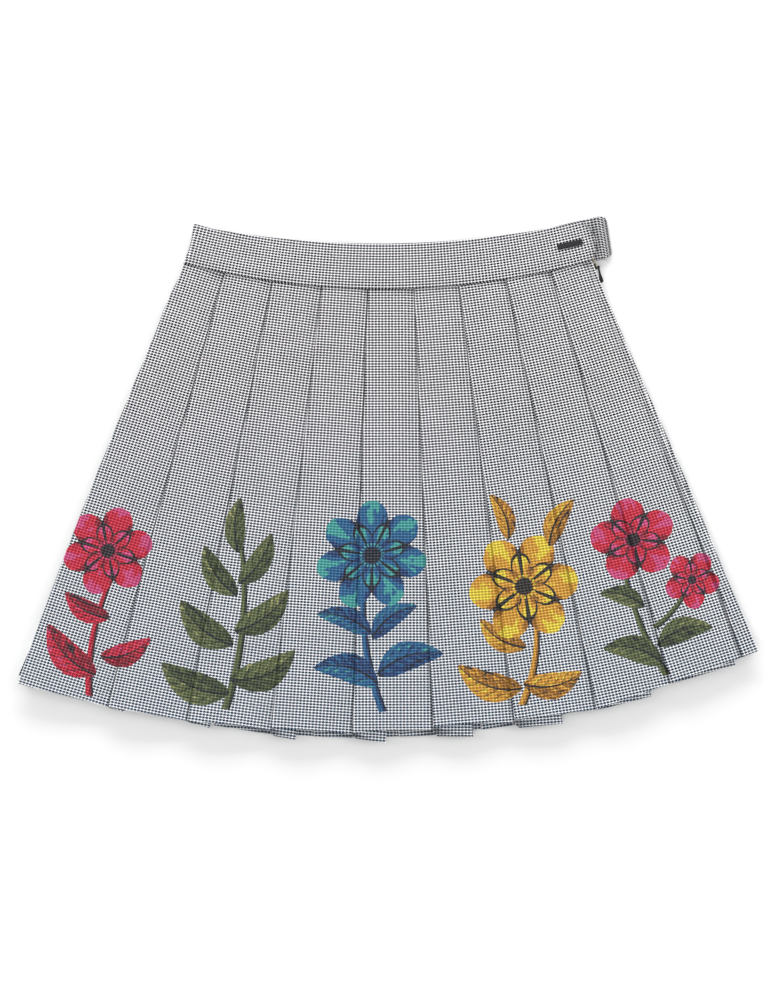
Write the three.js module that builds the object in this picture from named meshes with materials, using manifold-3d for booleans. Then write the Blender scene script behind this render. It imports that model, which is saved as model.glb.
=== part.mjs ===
// A knife-pleated mini skirt, laid flat with its front up, its waist towards +Y and its hem towards -Y.
// Front and back are pleated walls that lie on each other. A folded waistband runs round the waist and
// ends in an underlap beside the side zip. Units are millimetres, +Z is up, and the skirt lies on z = 0.
import * as THREE from "three";
import { mergeVertices } from "three/addons/utils/BufferGeometryUtils.js";
import Module from "manifold-3d";

const wasm = await Module();
wasm.setup();

// Cloth and its layers.
const CLOTH = 1.0;
const LAYER_GAP = 0.4;
const LAYER_PITCH = CLOTH + LAYER_GAP;
const STACK = 3 * CLOTH + 2 * LAYER_GAP;
const FOLD_OUT = CLOTH + LAYER_GAP / 2;
const SEAM_GAP = 0.5;
const FRONT_FLOOR = STACK + LAYER_GAP;

// Waist seam, hem and waistband edges are arcs: a middle point, a radius and a tilt in degrees.
const WAIST_SEAM = { x: 1.1, y: 175.2, radius: 692, tilt: 0.55 };
const FRONT_HEM = { x: 1.8, y: -222.8, radius: 1005, tilt: 2.45 };
const BACK_HEM = { x: 1.8, y: -229.7, radius: 820, tilt: 0.96 };
const BAND_TOP = { x: 1.5, y: 218.4, radius: 840, tilt: 0.75 };

// Knife pleats: each fold starts at a place along the waist seam and ends at a place along the hem.
const WAIST_PITCH = 43;
const HEM_PITCH = 71;
const MIDDLE_FOLD = 4.5;
const HEM_HALF = 333;
const SIDE_BOW = { left: 4.2, right: 3 };
const SIDE_NIP = { at: 0.065, spread: 0.05, depth: 2.6 };
const HEM_PUFF = 2;
const PUFF_FROM = 0.35;

// One row for each fold from the left edge to the right edge of the front. waistShift and hemShift move
// the fold off its even place, lower is how far its hem end lies below the hem's arc, underlay is how far
// the inner fold lies beyond the outer one at the waist and at the hem, drop is how far the inner fold's
// corner hangs below the hem's arc, and hang is how far the underlay starts below the outer fold's end.
const FRONT_FOLDS = [
  { waistShift: 3, hemShift: -12.5, lower: 0, underlayWaist: 14, underlayHem: 14, drop: 0, hang: 0 },
  { waistShift: -1.5, hemShift: -0.8, lower: 0, underlayWaist: 32, underlayHem: 14, drop: 2.3, hang: 1 },
  { waistShift: 0, hemShift: -1.5, lower: 0.2, underlayWaist: 32, underlayHem: 20, drop: 4.4, hang: 1 },
  { waistShift: 2.5, hemShift: 1.8, lower: -0.7, underlayWaist: 32, underlayHem: 21, drop: 8.6, hang: 6 },
  { waistShift: 1.5, hemShift: 1.9, lower: 1.3, underlayWaist: 32, underlayHem: 29, drop: 11.1, hang: 4.5 },
  { waistShift: 1, hemShift: 1.4, lower: -0.5, underlayWaist: 31, underlayHem: 35, drop: 11.6, hang: 7.5 },
  { waistShift: -1, hemShift: 2, lower: 1.4, underlayWaist: 32, underlayHem: 43, drop: 12.6, hang: 7 },
  { waistShift: -0.5, hemShift: 4.5, lower: 6.2, underlayWaist: 32, underlayHem: 50, drop: 7.3, hang: 1 },
  { waistShift: -2, hemShift: 1.4, lower: 0.8, underlayWaist: 24, underlayHem: 59, drop: 4, hang: 0.8 },
  { waistShift: -9.5, hemShift: -2.2, lower: -0.5, underlayWaist: 2.6, underlayHem: 12, drop: -0.5, hang: 0 },
];
// The back's folds, counted from its own left edge as seen from behind, which is the right edge here.
const BACK_FOLDS = [
  { waistShift: 5.5, hemShift: -10, lower: -6, underlayWaist: 14, underlayHem: 14, drop: -6, hang: 0 },
  { waistShift: 0, hemShift: -3, lower: -7, underlayWaist: 32, underlayHem: 34, drop: -7, hang: 0 },
  { waistShift: 0.5, hemShift: 0, lower: -4.5, underlayWaist: 31, underlayHem: 30, drop: -3.5, hang: 0 },
  { waistShift: -1, hemShift: 1, lower: -2, underlayWaist: 32, underlayHem: 26, drop: -2, hang: 0 },
  { waistShift: 0, hemShift: -1, lower: -0.8, underlayWaist: 32, underlayHem: 30, drop: -1, hang: 0 },
  { waistShift: 0, hemShift: 0, lower: 0.2, underlayWaist: 32, underlayHem: 33, drop: 0.4, hang: 0 },
  { waistShift: 1, hemShift: 0, lower: 2, underlayWaist: 31, underlayHem: 50, drop: 1.4, hang: 0 },
  { waistShift: 0, hemShift: -1, lower: -1, underlayWaist: 32, underlayHem: 24, drop: -2, hang: 0 },
  { waistShift: 0, hemShift: 0, lower: 0, underlayWaist: 24, underlayHem: 27, drop: 0, hang: 0 },
  { waistShift: -7.5, hemShift: 1, lower: 0, underlayWaist: 2.6, underlayHem: 10, drop: 0, hang: 0 },
];
const HANG_AT = 0.1;
const HANG_BEFORE = 0.35;

// The last panel wraps round the side: how far it shows past its own fold.
const FRONT_WRAP = { least: 4, most: 15.3, from: 0.42 };
const BACK_WRAP = { least: 4, most: 18, from: 0.5 };

// A panel's dip from the top layer to the bottom one.
const DIP_BEFORE_FOLD = 1.2;
const DIP_AFTER_UNDERLAY = 0.6;
const BACK_DIP = 6;
const ROWS = [0, 0.04, 0.09, 0.16, 0.28, 0.43, 0.6, 0.8, 1];

// Waistband: a strip folded along its top edge, wrapped round the left side, with an underlap at its end.
const BAND_LAYER = 1.3;
const BAND_THICK = 3.9;
const BAND_HALF = 188.5;
const BAND_TOP_HALF = 178;
const UNDERLAP = { seam: 19, top: 24, lift: 2.6, from: 0.6 };
const BAND_COLUMNS = 22;
const BAND_BEND_STEPS = 6;

// A blank woven tab on the waistband, and the side zip with its slider and pull.
const TAB = { from: 158.5, to: 183, low: 0.44, high: 0.555, lift: 0.3, thick: 0.8 };
const ZIP = { length: 0.46, width: 12, thick: 1, from: 0.011 };
const SLIDER = { at: 0.015, length: 6, depth: 1.6, height: 3.6, clear: 0.35, taper: 0.7 };
const ARM = { wall: 0.6, reach: 4.5, from: 1, width: 1.7 };
const PIN = { radius: 0.45, out: 3.55, along: 1.2, sunk: 0.1 };
const PULL = { length: 15, eye: 0.8, rim: 1.3, neck: 0.8, drop: 1.9, thick: 1.6, turn: 4 };
const PULL_NECK_END = 0.4;
const PULL_SHOULDER = 0.85;
const ROUND_STEPS = 16;

const MATERIALS = {
  cloth: { color: 0xa9a9ad, roughness: 0.92, metalness: 0 },
  tab: { color: 0x1c1c22, roughness: 0.6, metalness: 0 },
  zip: { color: 0x15161c, roughness: 0.8, metalness: 0 },
  metal: { color: 0x2a2b30, roughness: 0.35, metalness: 0.9 },
};

const lerp = (a, b, t) => a + (b - a) * t;
const clamp = (value, low, high) => Math.min(high, Math.max(low, value));
const smooth = (low, high, value) => {
  const t = clamp((value - low) / (high - low), 0, 1);
  return t * t * (3 - 2 * t);
};

// The point at arc length s from an arc's middle. The arc opens towards +Y.
function onArc(arc, s) {
  const tilt = THREE.MathUtils.degToRad(arc.tilt);
  const angle = s / arc.radius + tilt;
  return new THREE.Vector2(
    arc.x + arc.radius * (Math.sin(angle) - Math.sin(tilt)),
    arc.y + arc.radius * (Math.cos(tilt) - Math.cos(angle)),
  );
}

// A point of the skirt t of the way from the waist seam to the hem. The sides bow out a little, and the
// right one is nipped in below the seam.
function onSkirt(hem, waistS, hemS, t, drop = 0) {
  const point = onArc(WAIST_SEAM, waistS).lerp(onArc(hem, hemS), t);
  const edge = lerp(BAND_HALF, HEM_HALF, t);
  const share = clamp(lerp(waistS, hemS, t) / edge, -1, 1);
  const bow = share < 0 ? SIDE_BOW.left : SIDE_BOW.right;
  const nip = share < 0 ? 0 : SIDE_NIP.depth * Math.exp(-(((t - SIDE_NIP.at) / SIDE_NIP.spread) ** 2));
  point.x += (bow * Math.sin(Math.PI * t) - nip * Math.min(1, t / SIDE_NIP.at)) * share * share * share;
  point.y -= drop * t;
  return point;
}

// Builds one closed wall from rows of sections. Each section is a list of [face point, inside point] pairs.
function wallFromRows(rows) {
  const count = rows[0].length;
  const positions = [];
  for (const row of rows) {
    for (const [face, inside] of row) positions.push(...face, ...inside);
  }
  const at = (row, column, side) => (row * count + column) * 2 + side;
  const faces = [];
  const quad = (a, b, c, d) => faces.push(a, b, c, a, c, d);
  const last = rows.length - 1;
  for (let r = 0; r < last; r += 1) {
    for (let c = 0; c < count - 1; c += 1) {
      quad(at(r, c, 0), at(r + 1, c, 0), at(r + 1, c + 1, 0), at(r, c + 1, 0));
      quad(at(r, c, 1), at(r, c + 1, 1), at(r + 1, c + 1, 1), at(r + 1, c, 1));
    }
    quad(at(r, 0, 0), at(r, 0, 1), at(r + 1, 0, 1), at(r + 1, 0, 0));
    quad(at(r, count - 1, 0), at(r + 1, count - 1, 0), at(r + 1, count - 1, 1), at(r, count - 1, 1));
  }
  for (let c = 0; c < count - 1; c += 1) {
    quad(at(0, c, 0), at(0, c + 1, 0), at(0, c + 1, 1), at(0, c, 1));
    quad(at(last, c, 0), at(last, c, 1), at(last, c + 1, 1), at(last, c + 1, 0));
  }
  const geometry = new THREE.BufferGeometry();
  geometry.setAttribute("position", new THREE.Float32BufferAttribute(positions, 3));
  geometry.setIndex(faces);
  return geometry;
}

// One side of the skirt. side is 1 for the front, and -1 for the back, which is the same cloth turned
// half a turn about Y, so that its pleats run on in the same direction round the body.
function pleatedSide({ hem, folds, wrap, side, dip }) {
  const levels = [0, 1, 2].map((n) => CLOTH / 2 + n * LAYER_PITCH);
  const toZ = (local) => (side > 0 ? FRONT_FLOOR + local : STACK - local);
  const waistAt = folds.map((f, k) => (k - MIDDLE_FOLD) * WAIST_PITCH + f.waistShift);
  const hemAt = folds.map((f, k) => (k - MIDDLE_FOLD) * HEM_PITCH + f.hemShift);
  const lastFold = folds.length - 1;
  const place = (waistS, hemS, t, drop) => onSkirt(hem, side * waistS, side * hemS, t, drop);

  const rows = ROWS.map((t) => {
    const wrapNow = lerp(wrap.least, wrap.most, clamp((t - wrap.from) / (1 - wrap.from), 0, 1));
    const outer = folds.map((f, k) => place(waistAt[k], hemAt[k], t, f.lower));
    const underlay = folds.map((f) => lerp(f.underlayWaist, f.underlayHem, t));
    const inner = folds.map((f, k) =>
      place(waistAt[k] + f.underlayWaist, hemAt[k] + f.underlayHem, t, f.drop));
    const edgeWaist = waistAt[lastFold] + wrap.least;
    const edge = place(edgeWaist, hemAt[lastFold] + wrapNow, t, folds[lastFold].lower);
    const section = [];
    const add = (point, along, z, normalAlong, normalZ) => {
      const pair = [1, -1].map((sign) => {
        const reach = (sign * CLOTH) / 2;
        const local = clamp(z + normalZ * reach, 0, Infinity);
        return [
          point.x + along.x * normalAlong * reach,
          point.y + along.y * normalAlong * reach,
          toZ(local),
        ];
      });
      section.push(pair);
    };
    // A fold's round edge. from and to are angles of the face normal, and towards is 1 for an outer fold.
    const bend = (tip, along, low, towards) => {
      const middle = (levels[low] + levels[low + 1]) / 2;
      const radius = LAYER_PITCH / 2;
      const centre = tip.clone().addScaledVector(along, towards * FOLD_OUT);
      for (let n = 0; n <= 4; n += 1) {
        const angle = -Math.PI / 2 + (n * Math.PI) / 4;
        const out = -towards * Math.cos(angle);
        const point = centre.clone().addScaledVector(along, out * radius);
        add(point, along, middle + radius * Math.sin(angle), towards * out, towards * Math.sin(angle));
      }
    };

    // The seam allowance under the first panel, then each fold and the panel after it.
    const firstAlong = outer[1].clone().sub(outer[0]).normalize();
    add(inner[0], firstAlong, levels[1], 0, -1);
    for (let k = 0; k <= lastFold; k += 1) {
      const next = k < lastFold ? outer[k + 1] : edge;
      const along = next.clone().sub(outer[k]).normalize();
      bend(outer[k], along, 1, 1);
      if (k === lastFold) {
        const curl = LAYER_PITCH + CLOTH / 2 - LAYER_GAP / 2;
        const centre = edge.clone().addScaledVector(along, -curl - CLOTH / 2);
        for (let n = 0; n <= 3; n += 1) {
          const angle = Math.PI / 2 - (n * Math.PI) / 6;
          const point = centre.clone().addScaledVector(along, curl * Math.cos(angle));
          add(point, along, levels[2] - curl + curl * Math.sin(angle), Math.cos(angle), Math.sin(angle));
        }
        add(centre.clone().addScaledVector(along, curl), along, LAYER_GAP / 2, 1, 0);
        break;
      }
      const width = next.distanceTo(outer[k]);
      const dipEnd = width - DIP_BEFORE_FOLD;
      const dipFrom = dip > 0 ? dipEnd - dip : underlay[k] + DIP_AFTER_UNDERLAY;
      const half = Math.tan(Math.atan2(levels[2] - levels[0], dipEnd - dipFrom) / 2);
      const rise = side > 0 ? HEM_PUFF * smooth(PUFF_FROM, 1, t) : 0;
      const onPanel = (distance) => {
        const share = distance / width;
        const chord = outer[k].clone().lerp(next, share);
        const arc = place(
          lerp(waistAt[k], waistAt[k + 1], share),
          lerp(hemAt[k], hemAt[k + 1], share),
          t,
          lerp(folds[k].lower, folds[k + 1].lower, share),
        );
        return arc.lerp(chord, t);
      };
      const middle = dipFrom / 2 + FOLD_OUT;
      add(onPanel(middle), along, levels[2] + rise, 0, 1);
      add(onPanel(dipFrom), along, levels[2] + rise * 0.5, half, 1);
      const hang = new THREE.Vector2(0, -folds[k + 1].hang * t);
      add(onPanel(dipEnd).addScaledVector(hang, HANG_BEFORE), along, levels[0], half, 1);
      const under = inner[k + 1].clone().sub(outer[k + 1]).normalize();
      add(outer[k + 1].clone().lerp(inner[k + 1], HANG_AT).add(hang), under, levels[0], 0, 1);
      bend(inner[k + 1], under, 0, -1);
    }
    return section;
  });
  return wallFromRows(rows);
}

// The frame of the waistband at a place along it: 0 is the front's end at the zip, and the band runs left
// along the front, round the left side and right along the back to the end of the underlap.
function bandFrames() {
  const middleBack = BAND_THICK / 2;
  const middleFront = STACK + LAYER_GAP + BAND_THICK / 2;
  const bendRadius = (middleFront - middleBack) / 2;
  const frames = [];
  const add = (s, topS, z, out, up, lift = 0) => {
    const low = onArc(WAIST_SEAM, s).add(new THREE.Vector2(0, SEAM_GAP));
    const high = onArc(BAND_TOP, topS).add(new THREE.Vector2(0, lift));
    frames.push({ low, high, z, out, up });
  };
  for (let n = 0; n <= BAND_COLUMNS; n += 1) {
    const share = 1 - (2 * n) / BAND_COLUMNS;
    add(share * BAND_HALF, share * BAND_TOP_HALF, middleFront, 0, 1);
  }
  for (let n = 1; n < BAND_BEND_STEPS; n += 1) {
    const angle = (n * Math.PI) / BAND_BEND_STEPS;
    const reach = bendRadius * Math.sin(angle);
    const z = middleBack + bendRadius + bendRadius * Math.cos(angle);
    add(-BAND_HALF - reach, -BAND_TOP_HALF - reach, z, Math.sin(angle), Math.cos(angle));
  }
  for (let n = 0; n <= BAND_COLUMNS; n += 1) {
    const share = (2 * n) / BAND_COLUMNS - 1;
    const lift = UNDERLAP.lift * smooth(UNDERLAP.from, 1, share);
    add(share * BAND_HALF, share * BAND_TOP_HALF, middleBack, 0, -1, lift);
  }
  add(BAND_HALF + UNDERLAP.seam, BAND_TOP_HALF + UNDERLAP.top, middleBack, 0, -1, UNDERLAP.lift);
  return frames;
}

// The waistband's section is a U: an outer and an inner layer, joined by a round fold along the top edge.
function waistband() {
  const outerHalf = BAND_THICK / 2;
  const innerHalf = outerHalf - BAND_LAYER;
  const rows = bandFrames().map(({ low, high, z, out, up }) => {
    const height = high.distanceTo(low);
    const rise = high.clone().sub(low).normalize();
    const left = new THREE.Vector2(-rise.y, rise.x);
    const at = (along, across) => {
      const point = low.clone().addScaledVector(rise, along).addScaledVector(left, across * out);
      return [point.x, point.y, z + across * up];
    };
    const section = [[at(0, outerHalf), at(0, innerHalf)]];
    for (let n = 0; n <= 6; n += 1) {
      const angle = Math.PI / 2 - (n * Math.PI) / 6;
      const along = height - outerHalf;
      section.push([
        at(along + outerHalf * Math.cos(angle), outerHalf * Math.sin(angle)),
        at(along + innerHalf * Math.cos(angle), innerHalf * Math.sin(angle)),
      ]);
    }
    section.push([at(0, -outerHalf), at(0, -innerHalf)]);
    return section;
  });
  return wallFromRows(rows.reverse());
}

// A blank tab that lies on the waistband, made from the band's own places and moved out.
function wovenTab() {
  const top = STACK + LAYER_GAP + BAND_THICK + TAB.lift;
  const columns = 6;
  const rows = [];
  for (let n = 0; n <= columns; n += 1) {
    const s = lerp(TAB.from, TAB.to, n / columns);
    const low = onArc(WAIST_SEAM, s);
    const high = onArc(BAND_TOP, (s * BAND_TOP_HALF) / BAND_HALF);
    rows.push([TAB.high, TAB.low].map((v) => {
      const point = low.clone().lerp(high, v);
      return [[point.x, point.y, top + TAB.thick], [point.x, point.y, top]];
    }));
  }
  return wallFromRows(rows.reverse());
}

// The right edge of the front at t, and the frame that the zip's parts are placed in.
function rightEdge(t) {
  const last = FRONT_FOLDS.length - 1;
  const waistS = (last - MIDDLE_FOLD) * WAIST_PITCH + FRONT_FOLDS[last].waistShift + FRONT_WRAP.least;
  const wrapNow = lerp(
    FRONT_WRAP.least,
    FRONT_WRAP.most,
    clamp((t - FRONT_WRAP.from) / (1 - FRONT_WRAP.from), 0, 1),
  );
  const hemS = (last - MIDDLE_FOLD) * HEM_PITCH + FRONT_FOLDS[last].hemShift + wrapNow;
  return onSkirt(FRONT_HEM, waistS, hemS, t);
}

// The zip's tape lies in the side seam, between the front's edge and the back's first fold.
function zipTape() {
  const top = STACK;
  const steps = 8;
  const rows = [];
  for (let n = 0; n <= steps; n += 1) {
    const t = lerp(ZIP.from, ZIP.length, n / steps);
    const edge = rightEdge(t);
    rows.push([edge.x - ZIP.width, edge.x].map((x) => [[x, edge.y, top], [x, edge.y, top - ZIP.thick]]));
  }
  return wallFromRows(rows);
}

// Turns a closed three.js geometry into a solid that can be joined and cut.
function toSolid(geometry) {
  const bare = geometry.clone();
  bare.deleteAttribute("normal");
  bare.deleteAttribute("uv");
  const merged = mergeVertices(bare, 1e-5);
  return new wasm.Manifold(new wasm.Mesh({
    numProp: 3,
    vertProperties: new Float32Array(merged.attributes.position.array),
    triVerts: new Uint32Array(merged.index.array),
  }));
}

function fromSolid(solid) {
  const mesh = solid.getMesh();
  const geometry = new THREE.BufferGeometry();
  geometry.setAttribute("position", new THREE.BufferAttribute(new Float32Array(mesh.vertProperties), 3));
  geometry.setIndex(new THREE.BufferAttribute(new Uint32Array(mesh.triVerts), 1));
  return geometry;
}

const moved = (geometry, x, y, z) => geometry.translate(x, y, z);

// The zip slider: a rounded body with two arms that hold a pin upright. Local x points out of the seam,
// and local y down the zip.
function zipSlider() {
  const outline = new THREE.Shape();
  const halfLength = SLIDER.length / 2;
  outline.moveTo(SLIDER.clear, -halfLength);
  outline.lineTo(SLIDER.clear + SLIDER.depth - SLIDER.taper, -halfLength);
  outline.lineTo(SLIDER.clear + SLIDER.depth, -halfLength + SLIDER.taper);
  outline.lineTo(SLIDER.clear + SLIDER.depth, halfLength - 2 * SLIDER.taper);
  outline.lineTo(SLIDER.clear + SLIDER.depth - SLIDER.taper, halfLength);
  outline.lineTo(SLIDER.clear, halfLength);
  outline.closePath();
  const body = new THREE.ExtrudeGeometry(outline, { depth: SLIDER.height, bevelEnabled: false });
  let solid = toSolid(moved(body, 0, 0, -SLIDER.height / 2));
  const armReach = ARM.reach - SLIDER.clear - ARM.from;
  for (const end of [-1, 1]) {
    const arm = new THREE.BoxGeometry(armReach, ARM.width, ARM.wall);
    const z = end * (SLIDER.height / 2 - ARM.wall / 2);
    solid = solid.add(toSolid(moved(arm, ARM.reach - armReach / 2, PIN.along, z)));
  }
  const pin = new THREE.CylinderGeometry(PIN.radius, PIN.radius, SLIDER.height - 2 * PIN.sunk, ROUND_STEPS);
  pin.rotateX(Math.PI / 2);
  solid = solid.add(toSolid(moved(pin, PIN.out, PIN.along, 0)));
  return fromSolid(solid);
}

// The pull: a drop with an eye round the slider's pin, which is its local origin. It hangs along +y.
function zipPull() {
  const shape = new THREE.Shape();
  const neckAngle = Math.asin(PULL.neck / PULL.rim);
  shape.absarc(0, 0, PULL.rim, Math.PI / 2 + neckAngle, Math.PI / 2 - neckAngle + 2 * Math.PI, false);
  shape.lineTo(PULL.neck, PULL.length * PULL_NECK_END);
  shape.lineTo(PULL.drop * PULL_SHOULDER, PULL.length - 2 * PULL.drop);
  shape.absarc(0, PULL.length - PULL.drop, PULL.drop, 0, Math.PI, false);
  shape.lineTo(-PULL.drop * PULL_SHOULDER, PULL.length - 2 * PULL.drop);
  shape.lineTo(-PULL.neck, PULL.length * PULL_NECK_END);
  shape.closePath();
  const eye = new THREE.Path();
  eye.absarc(0, 0, PULL.eye, 0, 2 * Math.PI, true);
  shape.holes.push(eye);
  const options = { depth: PULL.thick, bevelEnabled: false, curveSegments: ROUND_STEPS };
  return moved(new THREE.ExtrudeGeometry(shape, options), 0, 0, -PULL.thick / 2);
}

function mesh(name, geometry, look) {
  geometry.computeVertexNormals();
  const made = new THREE.Mesh(geometry, new THREE.MeshStandardMaterial(MATERIALS[look]));
  made.name = name;
  return made;
}

const skirt = new THREE.Group();
skirt.add(mesh("skirt_front", pleatedSide({
  hem: FRONT_HEM, folds: FRONT_FOLDS, wrap: FRONT_WRAP, side: 1, dip: 0,
}), "cloth"));
skirt.add(mesh("skirt_back", pleatedSide({
  hem: BACK_HEM, folds: BACK_FOLDS, wrap: BACK_WRAP, side: -1, dip: BACK_DIP,
}), "cloth"));
skirt.add(mesh("waistband", waistband(), "cloth"));
skirt.add(mesh("woven_tab", wovenTab(), "tab"));
skirt.add(mesh("zip_tape", zipTape(), "zip"));

// The slider sits on the tape's edge below the waistband, and its pull hangs beside the seam.
const sliderAt = rightEdge(SLIDER.at);
const downSeam = rightEdge(SLIDER.at + 0.03).sub(sliderAt);
const slider = new THREE.Group();
slider.position.set(sliderAt.x, sliderAt.y, STACK - ZIP.thick / 2);
slider.rotation.set(Math.PI, 0, Math.atan2(-downSeam.x, -downSeam.y));
slider.add(mesh("zip_slider", zipSlider(), "metal"));
const pull = mesh("zip_pull", zipPull(), "metal");
pull.position.set(PIN.out, PIN.along, 0);
pull.rotation.z = THREE.MathUtils.degToRad(PULL.turn);
slider.add(pull);
skirt.add(slider);

// The origin is the middle of the skirt's footprint, on the surface that it lies on.
skirt.updateMatrixWorld(true);
const box = new THREE.Box3().setFromObject(skirt);
skirt.position.set(-(box.min.x + box.max.x) / 2, -(box.min.y + box.max.y) / 2, -box.min.z);

export default skirt;
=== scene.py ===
"""A knife-pleated mini skirt, laid flat with its front up: cloth, waistband, zip and printed border."""

import math
from collections import namedtuple
from functools import partialmethod
from types import SimpleNamespace as Values

import bpy
import numpy as np
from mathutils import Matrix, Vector


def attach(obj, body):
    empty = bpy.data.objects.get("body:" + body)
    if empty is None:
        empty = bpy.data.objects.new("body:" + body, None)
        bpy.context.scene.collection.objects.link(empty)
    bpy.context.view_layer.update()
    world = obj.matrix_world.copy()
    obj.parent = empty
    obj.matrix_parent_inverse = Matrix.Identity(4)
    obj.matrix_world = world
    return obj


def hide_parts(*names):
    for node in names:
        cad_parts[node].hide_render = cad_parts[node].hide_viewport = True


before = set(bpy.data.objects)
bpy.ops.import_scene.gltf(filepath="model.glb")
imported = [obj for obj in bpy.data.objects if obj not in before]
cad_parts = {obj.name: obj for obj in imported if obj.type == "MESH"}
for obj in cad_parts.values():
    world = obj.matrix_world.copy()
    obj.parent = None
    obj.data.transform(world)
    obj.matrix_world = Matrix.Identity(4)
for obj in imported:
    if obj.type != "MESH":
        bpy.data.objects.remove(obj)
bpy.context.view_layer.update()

MM = 0.001

# Sizes in millimetres. The arcs and folds are the solids' own, about the middle of the footprint.
WAIST_SEAM = Values(x=2.372, y=168.349, radius=692, tilt=0.55)
FRONT_HEM = Values(x=3.072, y=-229.651, radius=1005, tilt=2.45)
BACK_HEM = Values(x=3.072, y=-236.551, radius=820, tilt=0.96)
BAND_TOP = Values(x=2.772, y=211.549, radius=840, tilt=0.75)

WAIST_PITCH = 43
HEM_PITCH = 71
MIDDLE_FOLD = 4.5
SIDE_BOW = Values(left=4.2, left_late=1.2, right=3.6, right_late=1.6)
SIDE_SWELL = Values(at=0.09, spread=0.06, depth=1.5)
SIDE_NIP = Values(at=0.065, spread=0.05, depth=0.6)
EDGE_WAIST = 188.5
EDGE_HEM = 333

# Fold: shift along the waist and the hem, how far its hem end lies below the hem's arc, underlay width
# at the waist and the hem, how far its inner corner drops below the arc, how high the panel after it
# stands off, how far the underlay starts below the outer fold's end, and how strong the painted shade
# along the fold's line is.
Fold = namedtuple("Fold", "waist hem lower underlay_waist underlay_hem drop puff hang line")
FRONT_FOLDS = tuple(Fold(*row) for row in (
    (3, -12.5, 0, 14, 14, 0, 0.8, 0, 0.8),
    (-1.5, -0.8, 0, 32, 14, 2.3, 1.2, 1, 1.35),
    (0, -1.5, 0.2, 32, 20, 4.4, 0.9, 1, 1.15),
    (2.5, 1.8, -0.7, 32, 21, 8.6, 1.3, 6, 0.75),
    (1.5, 1.9, 1.3, 32, 29, 11.1, 1.0, 4.5, 1.25),
    (1, 1.4, -0.5, 31, 35, 11.6, 1.4, 7.5, 0.95),
    (-1, 2, 1.4, 32, 43, 12.6, 1.1, 7, 0.8),
    (-0.5, 4.5, 6.2, 32, 50, 7.3, 1.4, 1, 0.75),
    (-2, 1.4, 0.8, 24, 60.5, 4, 1.0, 0.8, 0.7),
    (-9.5, -2.2, -0.5, 2.6, 12, -0.5, 0.6, 0, 0.8),
))
BACK_FOLDS = tuple(Fold(*row) for row in (
    (5.5, -10, -6, 14, 14, -6, 0, 0, 0.8),
    (0, -3, -7, 32, 34, -7, 0, 0, 0.8),
    (0.5, 0, -4.5, 31, 30, -3.5, 0, 0, 0.8),
    (-1, 1, -2, 32, 26, -2, 0, 0, 0.8),
    (0, -1, -0.8, 32, 30, -1, 0, 0, 0.8),
    (0, 0, 0.2, 32, 33, 0.4, 0, 0, 0.8),
    (1, 0, 2, 31, 50, 1.4, 0, 0, 0.8),
    (0, -1, -1, 32, 24, -2, 0, 0, 0.8),
    (0, 0, 0, 24, 27, 0, 0, 0, 0.8),
    (-7.5, 1, 8, 2.6, 10, 8, 0, 0, 0.8),
))
HANG_BEFORE = 0.35
HANG_UNDERLAY = 1.11

# The last panel goes round the side by least at the waist, and by most at the hem from start on down.
Wrap = namedtuple("Wrap", "least most start")
FRONT_WRAP = Wrap(4, 15.3, 0.42)
BACK_WRAP = Wrap(4, 16.7, 0.5)

CLOTH = 0.5
WAIST_LAYER_PITCH = 0.62
LAYER_PITCH = 1.0
STACK = 2 * LAYER_PITCH + CLOTH
FRONT_FLOOR = 4.0
DIP_BEFORE_FOLD = 1.2
BACK_DIP = 7
EDGE_LIFT = 0.45
HEM_RISE = 1.5
HEM_RISE_FROM = 0.45
SEAM_TUCK = 5.0
SHEET_LENGTH = 400
ROWS = 78
PANEL_COLUMNS = 20
BEND_COLUMNS = 7

# Shares of the way down: where the pleats come open, and where the last fold's painted shade line and
# lift come in.
OPEN_FROM = 0.25
LAST_FOLD_FROM = (0.4, 0.6)
EDGE_LIFT_POWER = 2
PANEL_ARCH = Values(power=0.9, lean=0.3)
PANEL_DIP = Values(past_underlay=0.6, longest=7)
TURNED_EDGE = Values(curl=1.5, steps=6, before=(0.35, 0.7))
UNDERLAY = Values(line=0.1, middle=0.5, top=3)

# Painted shade along a fold's line, where shade falls at the fold's foot: its width, how dark it is at
# the waist, how much darker it gets lower down, where that change starts and ends, and how it fades
# round the bend.
FOLD_SHADE_LINE = Values(width=0.6, waist=0.8, more=0.1, start=0.4, end=0.9, bend=0.75, fade=0.25)

# How far the check jumps from one panel to the next, across and along.
PANEL_SHIFT = (17.3, 11.1)

# The slow ripple over the whole front: its height, and how fast its two waves turn along x and y.
RIPPLE_HEIGHT = 0.18
RIPPLE_WAVES = ((0.061, 0.023), (-0.019, 0.047))

# Soft creases pressed into the front: middle, direction in degrees, half length, half width and height.
CREASES = (
    (-196, 140, -28, 26, 5, 1.3),
    (-184, 118, -34, 30, 6, 1.1),
    (-206, 98, -50, 24, 5, 0.9),
    (-120, 60, 80, 60, 9, 0.7),
    (-62, 118, 12, 22, 6, 0.9),
    (38, 30, -86, 90, 10, 0.7),
    (104, 128, 20, 20, 6, 1.0),
    (140, 20, -68, 70, 9, 0.8),
    (176, 96, -40, 26, 6, 1.1),
    (188, 128, -52, 22, 5, 1.0),
    (-170, -70, 66, 80, 10, 0.8),
    (66, -120, -82, 60, 9, 0.8),
    (230, -60, -60, 70, 9, 0.9),
    (-44, 30, 4, 26, 5, 0.8),
    (-52, 2, -6, 22, 4, 0.7),
    (-46, -22, 3, 24, 5, 0.8),
    (8, 22, 5, 24, 5, 0.7),
    (4, -8, -4, 26, 5, 0.7),
    (44, 44, 8, 22, 5, 0.7),
    (62, 12, 10, 24, 5, 0.7),
    (-88, -4, -8, 22, 5, 0.6),
    (112, -16, 14, 22, 5, 0.6),
)

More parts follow.
